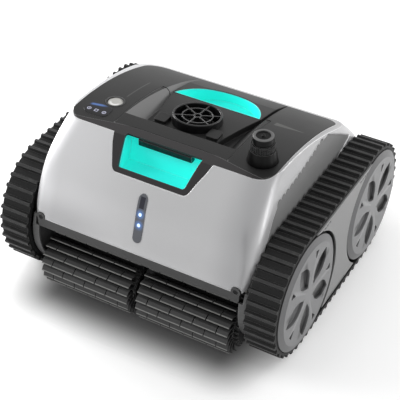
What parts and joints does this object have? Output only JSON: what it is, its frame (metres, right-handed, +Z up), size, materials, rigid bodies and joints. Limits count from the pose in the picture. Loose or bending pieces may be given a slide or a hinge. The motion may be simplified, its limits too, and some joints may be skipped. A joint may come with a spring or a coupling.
{
  "type": "robotic pool cleaner",
  "caption": "Cordless tracked robot pool cleaner with rubber-finned brushes, a hinged lid over its filter basket, a round pump outlet, sunken hand grips and a capped charging socket",
  "frame": {"origin": "on the floor under the middle of the machine, at the bottom centre of its bounding box", "axes": "+X to the machine's right across both tracks, -Y forward toward the front brush and light bar, +Z up"},
  "size_m": [0.4132, 0.377, 0.2735],
  "materials": {
    "silver_shell": "satin",
    "grey_panel": "satin",
    "dark_grey": "satin",
    "deck_black": "satin",
    "teal": "gloss",
    "gloss_black": "gloss",
    "lens_glass": "gloss",
    "button_silver": "satin",
    "hub_grey": "satin",
    "track_rubber": "matte",
    "fin_rubber": "matte",
    "steel": "satin",
    "chassis_black": "satin",
    "gear_white": "satin",
    "motor_metal": "satin",
    "inner_grey": "satin",
    "mesh_fabric": "matte"
  },
  "bodies": {
    "body": {"chassis": "chassis_black", "front_bumper": "dark_grey", "rear_bumper": "dark_grey", "body_screws": "steel", "shell": "silver_shell", "left_side_panel": "grey_panel", "right_side_panel": "grey_panel", "deck": "deck_black", "hinge_pins": "steel", "grip_bezel": "deck_black", "front_grip_pocket": "teal", "rear_grip_pocket": "teal", "light_bar": "dark_grey", "light_lenses": "lens_glass", "icon_pad": "gloss_black", "button_bezel": "button_silver", "charge_socket": "gloss_black", "left_side_frame": "dark_grey", "right_side_frame": "dark_grey", "left_side_cover": "grey_panel", "right_side_cover": "grey_panel", "left_track": "track_rubber", "right_track": "track_rubber", "wheel_axles": "steel", "wheel_bushes": "gear_white", "brush_supports": "chassis_black", "battery_pack": "inner_grey", "control_box": "inner_grey", "left_drive_motor": "motor_metal", "right_drive_motor": "motor_metal", "pump_duct": "inner_grey", "pump_motor": "motor_metal", "filter_basket": "inner_grey", "filter_mesh": "mesh_fabric"},
    "lid_body": {"lid": "deck_black", "outlet_grille": "deck_black"},
    "latch_body": {"lid_latch": "gloss_black"},
    "button_body": {"power_button": "button_silver"},
    "cap_body": {"charge_cap": "gloss_black"},
    "impeller_body": {"impeller": "gear_white"},
    "left_flap_body": {"left_inlet_flap": "chassis_black"},
    "right_flap_body": {"right_inlet_flap": "chassis_black"},
    "right_rear_wheel_body": {"right_rear_wheel": "chassis_black", "right_rear_hub_cap": "hub_grey", "right_rear_ring_gear": "gear_white"},
    "right_front_wheel_body": {"right_front_wheel": "chassis_black", "right_front_hub_cap": "hub_grey", "right_front_hub_gear": "gear_white"},
    "left_front_wheel_body": {"left_front_wheel": "chassis_black", "left_front_hub_cap": "hub_grey", "left_front_ring_gear": "gear_white"},
    "left_rear_wheel_body": {"left_rear_wheel": "chassis_black", "left_rear_hub_cap": "hub_grey", "left_rear_hub_gear": "gear_white"},
    "right_pinion_body": {"right_pinion": "gear_white"},
    "left_pinion_body": {"left_pinion": "gear_white"},
    "front_brush_body": {"front_brush_core": "chassis_black", "front_brush_fins": "fin_rubber"},
    "rear_brush_body": {"rear_brush_core": "chassis_black", "rear_brush_fins": "fin_rubber"}
  },
  "joints": [
    {"name": "right_rear_wheel_spin", "type": "hinge", "parent": "body", "child": "right_rear_wheel_body", "pos_m": [0.181, 0.1, 0.0865], "axis": [1, 0, 0], "continuous": true},
    {"name": "right_front_wheel_spin", "type": "hinge", "parent": "body", "child": "right_front_wheel_body", "pos_m": [0.181, -0.1, 0.0865], "axis": [1, 0, 0], "continuous": true},
    {"name": "right_pinion_spin", "type": "hinge", "parent": "body", "child": "right_pinion_body", "pos_m": [0.168, 0.073, 0.0865], "axis": [1, 0, 0], "continuous": true},
    {"name": "front_brush_spin", "type": "hinge", "parent": "body", "child": "front_brush_body", "pos_m": [0, -0.15, 0.042], "axis": [1, 0, 0], "continuous": true},
    {"name": "left_front_wheel_spin", "type": "hinge", "parent": "body", "child": "left_front_wheel_body", "pos_m": [-0.181, -0.1, 0.0865], "axis": [1, 0, 0], "continuous": true},
    {"name": "left_rear_wheel_spin", "type": "hinge", "parent": "body", "child": "left_rear_wheel_body", "pos_m": [-0.181, 0.1, 0.0865], "axis": [1, 0, 0], "continuous": true},
    {"name": "left_pinion_spin", "type": "hinge", "parent": "body", "child": "left_pinion_body", "pos_m": [-0.168, -0.073, 0.0865], "axis": [1, 0, 0], "continuous": true},
    {"name": "rear_brush_spin", "type": "hinge", "parent": "body", "child": "rear_brush_body", "pos_m": [0, 0.15, 0.042], "axis": [1, 0, 0], "continuous": true},
    {"name": "impeller_spin", "type": "hinge", "parent": "body", "child": "impeller_body", "pos_m": [0, -0.016, 0.18], "axis": [0, 0, 1], "continuous": true},
    {"name": "lid_hinge", "type": "hinge", "parent": "body", "child": "lid_body", "pos_m": [0, 0.0265, 0.22111], "axis": [-1, 0, 0], "range_deg": [0, 75]},
    {"name": "latch_slide", "type": "slide", "parent": "body", "child": "latch_body", "axis": [0, -1, 0], "range_m": [0, 0.004], "stiffness_N_per_m": 400},
    {"name": "power_button_press", "type": "slide", "parent": "body", "child": "button_body", "axis": [0, 0, -1], "range_m": [0, 0.0015], "stiffness_N_per_m": 700},
    {"name": "charge_cap_turn", "type": "hinge", "parent": "body", "child": "cap_body", "pos_m": [0.1176, -0.0636, 0.25], "axis": [0, 0, 1], "range_deg": [0, 270]},
    {"name": "right_flap_hinge", "type": "hinge", "parent": "body", "child": "right_flap_body", "pos_m": [0.0325, -0.016, 0.064], "axis": [0, -1, 0], "range_deg": [0, 70]},
    {"name": "left_flap_hinge", "type": "hinge", "parent": "body", "child": "left_flap_body", "pos_m": [-0.0325, -0.016, 0.064], "axis": [0, 1, 0], "range_deg": [0, 70]}
  ],
  "couplings": [
    {"joint": "right_front_wheel_spin", "follows": "right_rear_wheel_spin", "ratio": 1},
    {"joint": "right_pinion_spin", "follows": "right_rear_wheel_spin", "ratio": 4},
    {"joint": "front_brush_spin", "follows": "right_rear_wheel_spin", "ratio": -2},
    {"joint": "left_rear_wheel_spin", "follows": "left_front_wheel_spin", "ratio": 1},
    {"joint": "left_pinion_spin", "follows": "left_front_wheel_spin", "ratio": 4},
    {"joint": "rear_brush_spin", "follows": "left_front_wheel_spin", "ratio": -2}
  ]
}
